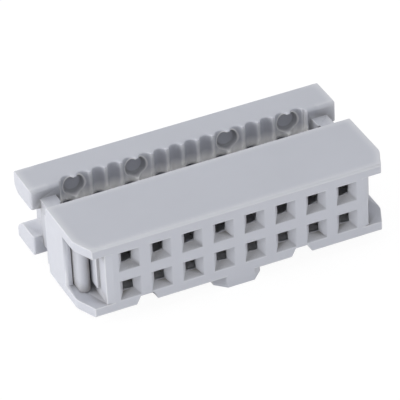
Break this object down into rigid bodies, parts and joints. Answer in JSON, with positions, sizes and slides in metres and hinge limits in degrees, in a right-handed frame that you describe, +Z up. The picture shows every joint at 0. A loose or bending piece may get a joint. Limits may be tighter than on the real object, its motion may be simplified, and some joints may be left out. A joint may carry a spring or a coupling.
{
  "type": "insulation displacement connector",
  "caption": "Ribbon cable socket with insulation displacement contacts, rows of square pin sockets, a polarising key and a press-on cover that slides home over the cable.",
  "frame": {"origin": "centre of the mating face, on the line midway between the two contact rows", "axes": "+X along the contact rows, +Y from the mating face back to the cover, +Z up, away from the key"},
  "size_m": [0.0254, 0.0127, 0.0069],
  "materials": {
    "housing": "fine satin",
    "cover": "fine satin",
    "contact": "bright tin plate"
  },
  "bodies": {
    "socket": {"housing": "housing", "contact_1": "contact", "contact_2": "contact", "contact_3": "contact", "contact_4": "contact", "contact_5": "contact", "contact_6": "contact", "contact_7": "contact", "contact_8": "contact", "contact_9": "contact", "contact_10": "contact", "contact_11": "contact", "contact_12": "contact", "contact_13": "contact", "contact_14": "contact", "contact_15": "contact", "contact_16": "contact"},
    "cover": {"cover": "cover"}
  },
  "joints": [
    {"name": "cover_press", "type": "slide", "parent": "socket", "child": "cover", "axis": [0, -1, 0], "range_m": [0, 0.00145]}
  ]
}
